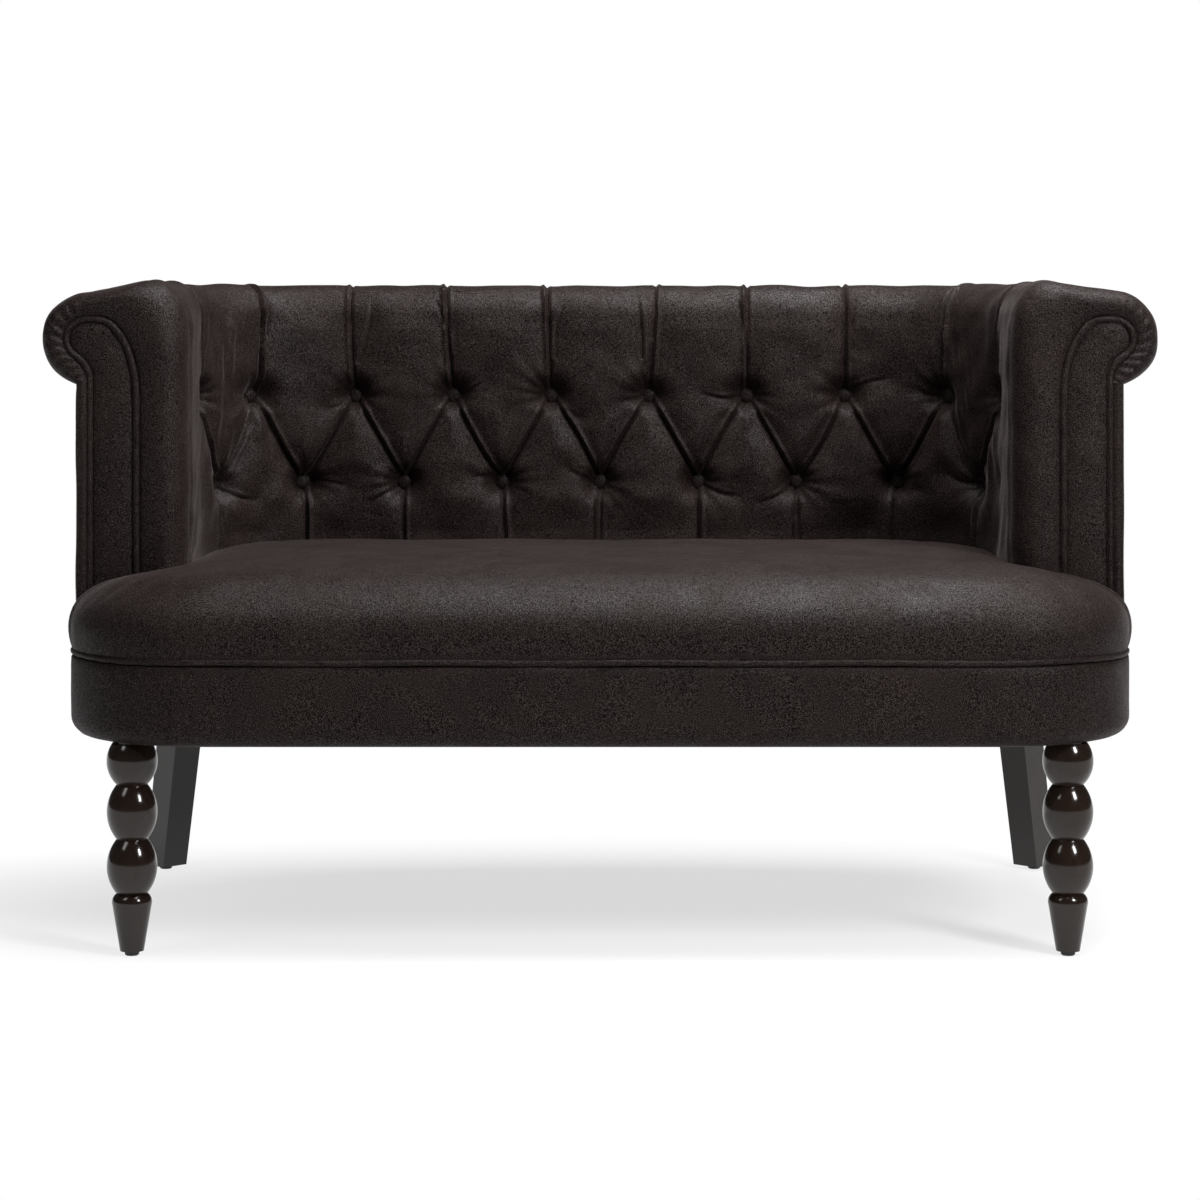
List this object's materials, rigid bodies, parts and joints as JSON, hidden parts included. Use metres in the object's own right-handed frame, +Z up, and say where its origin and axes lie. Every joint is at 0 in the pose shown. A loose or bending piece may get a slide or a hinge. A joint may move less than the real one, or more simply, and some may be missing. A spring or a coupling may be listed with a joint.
{
  "type": "loveseat",
  "caption": "Small velvet loveseat with a button-tufted tub back, rolled rim, crowned seat reaching in front of the arms, turned front legs and splayed square rear legs.",
  "frame": {"origin": "on the floor below the middle of the bounding box", "axes": "+X to the right as seen from the front, +Y to the back, +Z up"},
  "size_m": [1.25, 0.684, 0.728],
  "materials": {
    "velvet": "short black-brown velvet pile",
    "lacquered_wood": "espresso gloss lacquer",
    "black_plastic": "moulded",
    "zinc_steel": "zinc plated",
    "foam": "open-cell foam",
    "jute": "woven jute",
    "dust_cloth": "non-woven cloth",
    "frame_wood": "sawn, unfinished"
  },
  "bodies": {
    "loveseat": {"apron": "velvet", "arm_boards": "frame_wood", "arm_foam": "foam", "arm_hessian": "jute", "arm_posts": "frame_wood", "arm_top_rails": "frame_wood", "back_foam": "foam", "back_hessian": "jute", "back_rail": "frame_wood", "back_rim": "velvet", "back_top_rail": "frame_wood", "back_uprights": "frame_wood", "back_webbing": "jute", "corner_top_blocks": "frame_wood", "dust_cover": "dust_cloth", "facing_welts": "velvet", "front_corner_blocks": "frame_wood", "front_rail": "frame_wood", "inside_back_pad": "velvet", "left_arm_pad": "velvet", "left_arm_rim": "velvet", "left_corner_pad": "velvet", "left_corner_rim": "velvet", "left_facing": "velvet", "left_outside_arm": "velvet", "left_rear_leg": "lacquered_wood", "left_side_rail": "frame_wood", "lower_buttons": "velvet", "outside_back": "velvet", "rear_corner_blocks": "frame_wood", "rear_glides": "black_plastic", "rear_leg_bolts": "zinc_steel", "right_arm_pad": "velvet", "right_arm_rim": "velvet", "right_corner_pad": "velvet", "right_corner_rim": "velvet", "right_facing": "velvet", "right_outside_arm": "velvet", "right_rear_leg": "lacquered_wood", "right_side_rail": "frame_wood", "seat_cover": "velvet", "seat_foam": "foam", "seat_hessian": "jute", "seat_springs": "zinc_steel", "seat_stretcher": "frame_wood", "seat_welt": "velvet", "spring_clips": "zinc_steel", "threaded_inserts": "zinc_steel", "tuft_toggles": "black_plastic", "tufting_twine": "jute", "upper_buttons": "velvet"},
    "left_washer": {"left_leg_washer": "zinc_steel"},
    "left_leg": {"left_front_leg": "lacquered_wood", "left_hanger_bolt": "zinc_steel", "left_front_glide": "black_plastic"},
    "right_washer": {"right_leg_washer": "zinc_steel"},
    "right_leg": {"right_front_leg": "lacquered_wood", "right_hanger_bolt": "zinc_steel", "right_front_glide": "black_plastic"}
  },
  "joints": [
    {"name": "left_leg_travel", "type": "slide", "parent": "loveseat", "child": "left_washer", "axis": [0, 0, -1], "range_m": [0, 0.015]},
    {"name": "left_leg_turn", "type": "hinge", "parent": "left_washer", "child": "left_leg", "pos_m": [-0.503, -0.276, 0.2285], "axis": [0, 0, -1], "range_deg": [0, 4320]},
    {"name": "right_leg_travel", "type": "slide", "parent": "loveseat", "child": "right_washer", "axis": [0, 0, -1], "range_m": [0, 0.015]},
    {"name": "right_leg_turn", "type": "hinge", "parent": "right_washer", "child": "right_leg", "pos_m": [0.503, -0.276, 0.2285], "axis": [0, 0, -1], "range_deg": [0, 4320]}
  ],
  "couplings": [
    {"joint": "left_leg_turn", "follows": "left_leg_travel", "rad_per_m": 5026.5},
    {"joint": "right_leg_turn", "follows": "right_leg_travel", "rad_per_m": 5026.5}
  ]
}
